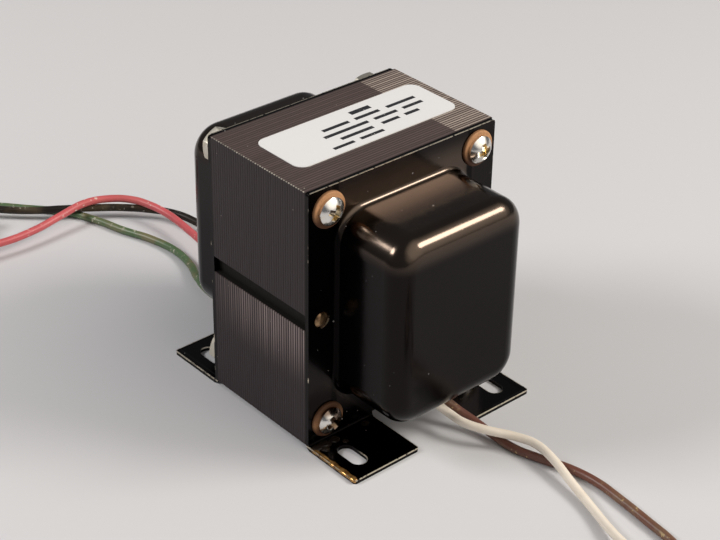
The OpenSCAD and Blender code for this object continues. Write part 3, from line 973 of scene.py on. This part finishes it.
@dataclass
class Studio:
    """Camera at the photograph's angle, a plain pale floor and soft light, in metres and degrees."""

    camera_at: Point = (0.31602, -0.27686, 0.29348)
    turn: float = 48.44
    tilt: float = 31.69
    roll: float = 0.98
    focal_pixels: float = 1820.2
    image_pixels: float = 720.0
    sensor: float = 36.0
    nearest: float = 0.01
    floor_size: float = 8.0
    floor_colour: Colour = rgb(0.66, 0.66, 0.68)
    floor_shade: Colour = rgb(0.62, 0.62, 0.64)
    lamps: tuple[Softbox, ...] = (
        Softbox("softbox_right", (0.537, 0.52, 0.63), (0.34, 0.31), 4.8, (1.0, 0.96, 0.9)),
        Softbox("softbox_left", (-0.45, -0.66, 0.67), (0.38, 0.3), 5.0, (1.0, 0.98, 0.96)),
    )
    lamps_aim: Point = (0.0, 0.0, 0.03)
    even_light: Colour = rgb(0.15, 0.152, 0.16)
    glow: Colour = rgb(1.5, 1.4, 1.26)
    glow_toward: Point = (0.72, 0.3, 0.6)
    glow_edge: tuple[float, float] = (0.62, 0.97)

    def place_camera(self) -> None:
        """Sets the camera by its turn about Z, tilt and roll."""
        turn = math.radians(self.turn)
        tilt = math.radians(self.tilt)
        back = Vector((math.sin(turn) * math.cos(tilt), -math.cos(turn) * math.cos(tilt), math.sin(tilt)))
        level = Vector((math.cos(turn), math.sin(turn), 0.0))
        upright = back.cross(level)
        roll = math.radians(self.roll)
        right = math.cos(roll) * level + math.sin(roll) * upright
        above = math.cos(roll) * upright - math.sin(roll) * level
        bpy.ops.object.camera_add()
        camera = bpy.context.active_object
        pose = Matrix((right, above, back)).transposed().to_4x4()
        pose.translation = Vector(self.camera_at)
        camera.matrix_world = pose
        camera.data.sensor_fit = "HORIZONTAL"
        camera.data.sensor_width = self.sensor
        camera.data.lens = self.focal_pixels / self.image_pixels * self.sensor
        camera.data.clip_start = self.nearest
        bpy.context.scene.camera = camera

    def lay_floor(self) -> None:
        """Makes the floor that the object stands on."""
        bpy.ops.mesh.primitive_plane_add(size=self.floor_size)
        floor = bpy.context.active_object
        floor.name = "floor"
        paint = Paint("pale_floor")
        vector, _, _, _ = paint.place()
        clouds = paint.noise(vector, scale=0.004, detail=2.0)
        tone = paint.blend(clouds * 0.2, self.floor_colour, self.floor_shade)
        dress(floor, paint.finish(Base_Color=tone, Roughness=0.9))

    def light(self) -> None:
        """Sets the softboxes and the even light around them."""
        for lamp in self.lamps:
            lamp.hang(self.lamps_aim)
        sky = Sky("even_light")
        bpy.context.scene.world = sky.shine(self.even_light, self.glow, self.glow_toward, self.glow_edge)

    def build(self) -> None:
        """Sets up the camera, the floor and the light."""
        self.place_camera()
        self.lay_floor()
        self.light()
        bpy.context.scene.view_settings.view_transform = "Standard"
        LOG.info("set the studio")


@dataclass
class LeadCoil:
    """The place of a coil of spare lead and the size of its turns."""

    middle: tuple[float, float]
    first_radius: float
    tip_radius: float
    turn_step: float = 2.45
    rest_height: float = 0.8
    dip: float = 60.0
    step: float = 12.0

    def at(self, radius: float, degrees: float, level: int) -> Point:
        """Works out a place in the coil.

        Args:
            radius: Distance from the middle.
            degrees: Angle from +X.
            level: Layer of the coil, from 1 at the floor.

        Returns:
            The place, in millimetres.
        """
        angle = math.radians(degrees)
        x = self.middle[0] + radius * math.cos(angle)
        y = self.middle[1] + radius * math.sin(angle)
        return (x, y, self.rest_height + (level - 0.5) * PART.lead)

    def turns(self, level: int, entry: float, sense: Sense, sweep: float) -> list[Point]:
        """Works out the points of a lead in the coil.

        Args:
            level: Layer of the coil, from 1 at the floor.
            entry: Angle in degrees where the lead meets the coil.
            sense: Which way it runs.
            sweep: Degrees that it runs round.

        Returns:
            The points, in millimetres.
        """
        count = math.ceil(sweep / self.step)
        points = []
        for i in range(count + 1):
            run = sweep * i / count
            ease = min(max((run - sweep + self.dip) / self.dip, 0.0), 1.0)
            ease = ease * ease * (3.0 - 2.0 * ease)
            wound = self.first_radius - self.turn_step * run / 360.0
            radius = wound * (1.0 - ease) + self.tip_radius * ease
            points.append(self.at(radius, entry + sense.value * run, level))
        return points


@dataclass
class Lead:
    """One insulated lead: its route from the coil inside, its coil of spare length and its bared end."""

    name: str
    sleeve: Sleeve
    route: list[Point]
    coil: LeadCoil
    side: int
    level: int
    entry: float
    sense: Sense
    sweep: float
    replaces: list[str]
    extras: list[str] = field(default_factory=list)
    length: float = 248.0
    exit_x: float = 31.85
    exit_z: float = 11.2
    lean: float = 25.0
    curve_parts: int = 5
    tip_length: float = 6.0
    tip_parts: int = 12
    strand: float = 0.19
    strand_sides: int = 10
    ring_strands: int = 6
    ring_radius: float = 0.4
    twist: float = 260.0

    def sleeve_curve(self) -> bpy.types.Object:
        """Draws the sleeve along its route and round its coil.

        Returns:
            The sleeve, as a curve.
        """
        points = self.route + self.coil.turns(self.level, self.entry, self.sense, self.sweep)
        line = bpy.data.curves.new(self.name + "_sleeve", "CURVE")
        line.dimensions = "3D"
        line.resolution_u = self.curve_parts
        line.bevel_depth = 0.5 * PART.lead * MM
        line.bevel_resolution = self.curve_parts
        line.use_fill_caps = True
        spline = line.splines.new("BEZIER")
        spline.bezier_points.add(len(points) - 1)
        for knot, point in zip(spline.bezier_points, points):
            knot.co = Vector(point) * MM
            knot.handle_left_type = "AUTO"
            knot.handle_right_type = "AUTO"
        made = bpy.data.objects.new(self.name + "_sleeve", line)
        bpy.context.collection.objects.link(made)
        return made

    def bared_end(self) -> bpy.types.Object:
        """Models the twisted strands at the end of the lead.

        Returns:
            The strands as one piece.
        """
        step = self.tip_length / self.tip_parts
        strand = Bench.cylinder(self.strand_sides, self.strand, 0.0, step)
        strand.grow([(step, 1.0)] * (self.tip_parts - 1))
        angles = [math.tau * k / self.ring_strands for k in range(self.ring_strands)]
        spots = [(self.ring_radius * math.cos(a), self.ring_radius * math.sin(a), 0.0) for a in angles]
        large = Matrix.Scale(1.0 / MM, 4)
        places = [large @ Matrix.Translation(spot) for spot in spots + [(0.0, 0.0, 0.0)]]
        bundle = Bench(strand.copies("bundle", places))
        twist = math.radians(self.twist)
        bundle.apply("SIMPLE_DEFORM", deform_method="TWIST", deform_axis="Z", angle=twist)
        degrees = self.entry + self.sense.value * self.sweep
        start = self.coil.at(self.coil.tip_radius, degrees, self.level)
        heading = math.radians(degrees + self.sense.value * (90.0 + self.lean))
        ahead = Vector((math.cos(heading), math.sin(heading), 0.0))
        place = Matrix.Translation(start) @ ahead.to_track_quat("Z", "Y").to_matrix().to_4x4()
        return bundle.copies(self.name + "_strands", [place])

    def build(self, tinned: bpy.types.Material) -> None:
        """Args:
            tinned: Material of the bared end.
        """
        strands = self.bared_end()
        keep(strands, tinned, "tinned_copper", self.name + "_tip")
        made = self.sleeve_curve()
        keep(made, self.sleeve.material(), self.name + "_sleeve", *self.replaces)


@dataclass
class LeadSet:
    """The five free leads."""

    front: LeadCoil = field(default_factory=lambda: LeadCoil((113.0, -17.0), 14.9, 8.44))
    rear: LeadCoil = field(default_factory=lambda: LeadCoil((-140.0, -52.0), 14.1, 9.16))
    tin: Mottled = Mottled(
        "tinned_strands", rgb(0.72, 0.7, 0.68), rgb(0.55, 0.5, 0.46), roughness=0.28, metallic=1.0, scale=1.5
    )
    nylon: Mottled = Mottled("tie_nylon", rgb(0.7, 0.7, 0.67), rgb(0.62, 0.61, 0.57), roughness=0.42)

    def white(self) -> Lead:
        """Gives the white lead, which leaves under the front bell.

        Returns:
            The lead.
        """
        route = [
            (31.4, -1.5, 22.0), (31.6, -1.4, 14.4), (32.4, -0.8, 11.6), (33.6, 0.4, 9.2), (35.2, 1.7, 7.2),
            (37.8, 2.6, 6.0), (42.4, 3.0, 5.6), (48.0, 5.6, 5.1), (54.6, 10.4, 4.3), (60.0, 12.6, 4.0),
            (67.0, 12.0, 3.5), (75.5, 9.8, 2.4), (86.0, 6.8, 1.6), (96.5, 3.0, 2.2), (107.5, -0.2, 3.4),
        ]
        cream = Sleeve("cream_pvc", rgb(0.92, 0.83, 0.71), rgb(0.76, 0.64, 0.51))
        return Lead(
            "white", cream, route, self.front, side=1, level=2, entry=68.0, sense=Sense.CLOCKWISE,
            sweep=648.0, replaces=["white_lead", "front_lead_coil"], extras=["front_coil_tie"],
        )

    def brown(self) -> Lead:
        """Gives the brown lead, which leaves under the front bell.

        Returns:
            The lead.
        """
        route = [
            (31.4, 1.6, 22.0), (31.5, 1.6, 11.4), (32.0, 2.9, 8.9), (33.7, 5.0, 7.0), (36.8, 6.5, 5.0),
            (41.6, 8.1, 3.2), (48.0, 9.0, 1.8), (55.0, 9.6, 1.2), (63.0, 11.8, 1.2), (71.0, 14.6, 1.2),
            (79.0, 15.8, 1.2), (88.0, 15.2, 1.2), (98.0, 14.0, 1.2), (109.0, 12.2, 1.2), (119.0, 7.6, 1.3),
            (125.0, -0.6, 1.5), (126.8, -5.8, 1.6),
        ]
        earth = Sleeve(
            "brown_pvc", rgb(0.155, 0.057, 0.038), rgb(0.08, 0.034, 0.024), flecked=0.9,
            fleck=rgb(0.5, 0.36, 0.17), stained=0.3,
        )
        return Lead(
            "brown", earth, route, self.front, side=1, level=1, entry=20.0, sense=Sense.CLOCKWISE,
            sweep=530.0, replaces=["brown_lead"],
        )

    def red(self) -> Lead:
        """Gives the red lead, which leaves under the rear bell.

        Returns:
            The lead.
        """
        route = [
            (-33.1, 0.7, 22.0), (-33.1, 0.7, 12.0), (-34.2, 1.0, 9.6), (-37.4, 1.4, 7.6), (-43.0, 2.2, 6.4),
            (-54.0, 3.4, 5.8), (-72.0, 5.6, 5.2), (-86.5, 7.8, 4.8), (-98.0, 8.2, 5.2), (-105.2, 6.6, 5.8),
            (-111.0, 3.8, 6.2), (-116.0, -1.6, 6.3), (-118.6, -9.0, 6.2), (-118.2, -18.4, 5.2),
            (-117.0, -29.0, 4.4), (-117.0, -41.0, 4.4), (-119.6, -53.4, 5.2), (-126.0, -61.4, 6.4),
        ]
        salmon = Sleeve(
            "red_pvc", rgb(0.64, 0.115, 0.125), rgb(0.42, 0.07, 0.075), flecked=0.8, stained=0.12
        )
        return Lead(
            "red", salmon, route, self.rear, side=-1, level=3, entry=-62.0, sense=Sense.CLOCKWISE,
            sweep=348.0, replaces=["red_lead", "rear_lead_coil"], extras=["rear_coil_tie"],
        )

    def black(self) -> Lead:
        """Gives the black lead, which leaves under the rear bell.

        Returns:
            The lead.
        """
        route = [
            (-30.5, 0.9, 22.0), (-30.5, 0.9, 12.0), (-31.2, 2.4, 9.6), (-33.6, 4.8, 7.4), (-38.4, 6.8, 5.8),
            (-47.0, 9.0, 4.8), (-63.0, 12.0, 3.8), (-80.0, 14.2, 3.0), (-92.0, 14.4, 2.8), (-99.5, 12.4, 3.0),
            (-106.0, 7.6, 3.4), (-112.0, 1.4, 3.7), (-118.0, -6.0, 3.7), (-123.8, -14.2, 3.7),
            (-130.0, -22.0, 3.2), (-136.5, -28.8, 3.2), (-142.4, -35.0, 4.0),
        ]
        jet = Sleeve(
            "black_pvc", rgb(0.014, 0.011, 0.009), rgb(0.05, 0.04, 0.028), flecked=0.5, stained=0.2,
            gloss=0.22,
        )
        return Lead(
            "black", jet, route, self.rear, side=-1, level=2, entry=138.0, sense=Sense.ANTICLOCKWISE,
            sweep=402.0, replaces=["black_lead"],
        )

    def green(self) -> Lead:
        """Gives the green lead, which leaves under the rear bell.

        Returns:
            The lead.
        """
        route = [
            (-31.8, -1.6, 22.0), (-31.8, -1.6, 12.0), (-32.8, -2.4, 9.4), (-35.6, -4.0, 7.2),
            (-41.0, -6.2, 5.0), (-49.0, -7.4, 3.6), (-57.0, -6.8, 2.7), (-65.0, -4.4, 2.0),
            (-74.0, -0.8, 1.4),
            (-84.0, 0.6, 1.2), (-94.0, -1.0, 1.2), (-104.0, -4.6, 1.2), (-114.5, -7.5, 1.2),
            (-125.5, -12.4, 1.2), (-135.0, -20.4, 1.2), (-144.6, -29.2, 1.2), (-152.0, -39.8, 1.5),
        ]
        leaf = Sleeve(
            "green_pvc", rgb(0.085, 0.15, 0.065), rgb(0.04, 0.075, 0.032), flecked=0.6, stained=0.6
        )
        return Lead(
            "green", leaf, route, self.rear, side=-1, level=1, entry=166.0, sense=Sense.ANTICLOCKWISE,
            sweep=404.0, replaces=["green_lead"],
        )

    def build(self) -> None:
        """Makes every lead, and dresses the ties on their coils."""
        tinned = self.tin.material()
        for lead in (self.white(), self.brown(), self.red(), self.black(), self.green()):
            lead.build(tinned)
        dress_nodes(self.nylon.material(), "front_coil_tie", "rear_coil_tie")


@dataclass
class Clamping:
    """The four through screws with their washers and nuts."""

    shank: float = 4.2
    shank_sides: int = 40
    head: float = 7.6
    head_side: float = 0.8
    dome_steps: int = 7
    dome_flat: float = 0.6
    recess_span: float = 6.5
    recess_arm: float = 1.8
    recess_depth: float = 1.7
    recess_over: float = 0.6
    recess_taper: tuple[float, float] = (0.34, 0.72)
    lock_t: float = 1.0
    nut_h: float = 3.2
    nut_flats: float = 8.7
    nut_face: float = 0.48
    nut_chamfer: float = math.radians(30.0)
    nut_clearance: float = 0.1
    round_sides: int = 64
    bore_sides: int = 48
    bore_over: float = 1.0
    head_edge: float = 0.05
    nut_edge: float = 0.08
    tail: float = 1.6
    tail_point: float = 0.82
    pitch: float = 0.8
    thread_depth: float = 0.28
    head_turns: tuple[float, ...] = (20.0, 65.0, 38.0, 8.0)
    nut_turns: tuple[float, ...] = (12.0, 34.0, 31.0, 4.0)
    tumbled: Plating = Plating("tumbled_zinc", zinc=rgb(0.66, 0.62, 0.54), roughness=0.45)

    def places(self, x: float, turns: tuple[float, ...]) -> list[Matrix]:
        """Lays a piece, drawn upright, along each screw's axis.

        Args:
            x: Where the piece's base goes along the stack.
            turns: Turn of each copy about its axis, in degrees.

        Returns:
            A place for each screw.
        """
        spots = [(y, z) for y in (-PART.screw_y, PART.screw_y) for z in (-PART.screw_z, PART.screw_z)]
        made = []
        for (y, z), turn in zip(spots, turns):
            spin = Matrix.Rotation(math.radians(turn), 4, "Z")
            made.append(Matrix.Translation((x, y, PART.mid_z + z)) @ ALONG_STACK @ spin)
        return made

    def recess_cutter(self) -> Bench:
        """Makes the tapered cross that cuts the recess.

        Returns:
            A bench with the cross on it.
        """
        top = PART.head_h + self.recess_over
        floor = PART.head_h - self.recess_depth
        arms = []
        for turn in (0.0, 90.0):
            size = (self.recess_span, self.recess_arm, top - floor)
            arm = Bench.block(size, (0.0, 0.0, 0.5 * (top + floor)))
            arm.pick(End.BOTTOM)
            arm.narrow(*self.recess_taper)
            arm.leave()
            arm.made.data.transform(Matrix.Rotation(math.radians(turn), 4, "Z"))
            arms.append(arm)
        arms[0].combine(arms[1], Solid.JOIN)
        return arms[0]

    def screws(self) -> bpy.types.Object:
        """Models one screw, with a domed head and a threaded tail, and copies it to each place.

        Returns:
            The screws as one piece.
        """
        radius = 0.5 * self.shank
        thread = self.nut_h + self.tail + self.lock_t
        screw = Bench.cylinder(self.shank_sides, radius, -2.0 * PART.head_base_x, 0.0)
        steep = math.asin(0.5 * self.head / PART.dome_r)
        leans = [steep * (1.0 - i / (self.dome_steps + self.dome_flat)) for i in range(self.dome_steps + 1)]
        dome = [
            (PART.dome_r * (math.cos(after) - math.cos(before)), math.sin(after) / math.sin(before))
            for before, after in zip(leans, leans[1:])
        ]
        screw.grow([(0.0, self.head / self.shank), (self.head_side, 1.0), *dome])
        count = int(thread / self.pitch)
        inner = (radius - self.thread_depth) / radius
        turn = [(0.5 * self.pitch, inner), (0.5 * self.pitch, 1.0 / inner)]
        screw.grow(turn * count + [(thread - count * self.pitch, self.tail_point)], End.BOTTOM)
        screw.combine(self.recess_cutter(), Solid.CUT)
        screw.soften(self.head_edge)
        return screw.copies("clamp_screws_domed", self.places(PART.head_base_x, self.head_turns))

    def nuts(self) -> bpy.types.Object:
        """Models one chamfered nut and copies it to each place.

        Returns:
            The nuts as one piece.
        """
        corner = 0.5 * self.nut_flats / math.cos(math.radians(30.0))
        face = self.nut_face * self.nut_flats
        chamfer = (corner - face) * math.tan(self.nut_chamfer)
        nut = Bench.cylinder(6, corner, 0.0, self.nut_h)
        lens = Bench.cylinder(self.round_sides, corner, chamfer, self.nut_h - chamfer)
        for end in (End.TOP, End.BOTTOM):
            lens.grow([(chamfer, face / corner)], end)
        nut.combine(lens, Solid.SHARE)
        bore = 0.5 * self.shank + self.nut_clearance
        drill = Bench.cylinder(self.bore_sides, bore, -self.bore_over, self.nut_h + self.bore_over)
        nut.combine(drill, Solid.CUT)
        nut.soften(self.nut_edge)
        base = -PART.head_base_x - self.lock_t - self.nut_h
        return nut.copies("clamp_nuts_chamfered", self.places(base, self.nut_turns))

    def build(self) -> None:
        """Makes the screws and nuts, and dresses the washers and sleeves."""
        keep(self.screws(), Plating().material(), "zinc_steel", "clamp_screws")
        tumbled = self.tumbled.material()
        keep(self.nuts(), tumbled, "zinc_steel", "clamp_nuts")
        dress_nodes(tumbled, "lock_washers")
        dress_nodes(Fibre().material(), "front_fibre_washers", "rear_fibre_washers", "screw_sleeves")


@dataclass
class Core:
    """The lamination stack with the coil that it carries and the label on top."""

    copper: Mottled = Mottled(
        "enamelled_copper", rgb(0.5, 0.19, 0.07), rgb(0.32, 0.1, 0.04), roughness=0.3, metallic=1.0,
        scale=1.2, grain=(1.0, 6.0, 1.0),
    )
    paper: Mottled = Mottled(
        "kraft_paper", rgb(0.5, 0.36, 0.2), rgb(0.4, 0.27, 0.14), roughness=0.7, scale=0.8
    )

    def build(self) -> None:
        """Dresses the laminations, the coil and the label."""
        dress_nodes(CoreSteel().material(), "e_laminations", "i_laminations")
        dress_nodes(self.copper.material(), "inner_primary", "secondary", "outer_primary")
        papers = ("coil_former", "inner_insulation", "outer_insulation", "outer_wrap")
        dress_nodes(self.paper.material(), *papers)
        dress_nodes(LabelFilm().material(), "label")


@dataclass
class EndBells:
    """The two drawn bells and the grommets in them."""

    rubber: Mottled = Mottled(
        "black_rubber", rgb(0.014, 0.013, 0.013), rgb(0.03, 0.029, 0.028), roughness=0.6
    )

    def build(self) -> None:
        """Dresses the bells and the grommets."""
        dress_nodes(Enamel().material(), "front_bell", "rear_bell")
        dress_nodes(self.rubber.material(), "front_grommet", "rear_grommet")


@dataclass
class Varnish:
    """Varnish that has run and set: amber along the near foot, brown in a spare hole, dark by the washer.

    Girths are the run's radii along the foot. Each drop has its X, its Y and its radius.
    """

    run_at: Point = (20.5, -31.08, 0.76)
    run_sides: int = 16
    run_edge: float = 0.1
    run_start: float = 0.3
    run_step: float = 0.895
    run_end: tuple[float, float] = (0.25, 0.6)
    run_flat: float = 0.72
    girths: tuple[float, ...] = (
        0.6, 0.74, 0.84, 0.78, 0.7, 0.8, 0.88, 0.78, 0.7, 0.84, 0.94,
        0.86, 0.76, 0.82, 0.9, 0.98, 0.9, 0.8, 0.86, 0.96, 0.8,
    )
    drops: tuple[Point, ...] = (
        (21.9, -30.0, 1.4), (21.7, -27.4, 1.9), (23.7, -28.7, 1.2),
        (21.8, -24.2, 1.6), (24.4, -22.4, 0.9), (21.6, -13.2, 1.3),
    )
    dome: tuple[tuple[float, float], ...] = ((0.2, 0.88), (0.14, 0.72), (0.07, 0.5))
    drop_sides: int = 20
    drop_ends: tuple[float, float] = (-0.2, 0.08)
    drop_flat: float = 0.45
    plug_at: Point = (19.55, -PART.spare_hole_y, PART.mid_z)
    plug_size: float = 2.34
    amber: Mottled = Mottled(
        "amber_varnish", rgb(0.5, 0.28, 0.09), rgb(0.2, 0.09, 0.025), roughness=0.08, metallic=0.7, scale=0.7,
        depth=0.08,
    )
    black: Mottled = Mottled(
        "black_varnish", rgb(0.012, 0.009, 0.008), rgb(0.02, 0.013, 0.009), roughness=0.06
    )
    brown: Mottled = Mottled(
        "brown_varnish", rgb(0.3, 0.19, 0.1), rgb(0.09, 0.05, 0.024), roughness=0.08, metallic=0.7, scale=0.5,
        depth=0.06,
    )

    @staticmethod
    def flatten(factor: float) -> Matrix:
        """Gives the matrix that scales heights by a factor."""
        return Matrix.Scale(factor, 4, (0.0, 0.0, 1.0))

    def run(self) -> bpy.types.Object:
        """Draws a run out along the edge, thicker and thinner.

        Returns:
            The run.
        """
        bead = Bench.cylinder(self.run_sides, self.girths[0], 0.0, self.run_start)
        steps = [(self.run_step, after / before) for before, after in zip(self.girths, self.girths[1:])]
        bead.grow(steps + [self.run_end])
        bead.soften(self.run_edge)
        place = Matrix.Translation(self.run_at) @ self.flatten(self.run_flat) @ ALONG_STACK
        return bead.copies("varnish_run", [place])

    def drip(self, name: str, places: list[Matrix]) -> bpy.types.Object:
        """Models one domed drop, upright and of radius 1, and copies it to each place.

        Args:
            name: Name of the piece.
            places: Where each drop goes, with its turn and size.

        Returns:
            The drops as one piece.
        """
        drop = Bench.cylinder(self.drop_sides, 1.0, *self.drop_ends)
        drop.grow(self.dome)
        return drop.copies(name, places)

    def build(self) -> None:
        """Makes the run, the plug in the spare hole and the drops."""
        flat = self.flatten(self.drop_flat)
        drops = [
            Matrix.Translation((x, y, PART.sheet)) @ flat @ Matrix.Scale(size, 4) for x, y, size in self.drops
        ]
        plug = Matrix.Translation(self.plug_at) @ ALONG_STACK @ Matrix.Scale(self.plug_size, 4)
        keep(self.run(), self.amber.material(), "black_enamel")
        keep(self.drip("varnish_plug", [plug]), self.brown.material(), "black_enamel")
        keep(self.drip("varnish_drops", drops), self.black.material(), "black_enamel")


def main() -> None:
    """Builds the studio and every sub-assembly in order."""
    logging.basicConfig(level=logging.INFO, format="%(message)s")
    Studio().build()
    LeadSet().build()
    Clamping().build()
    Core().build()
    EndBells().build()
    Varnish().build()


if __name__ == "__main__":
    main()
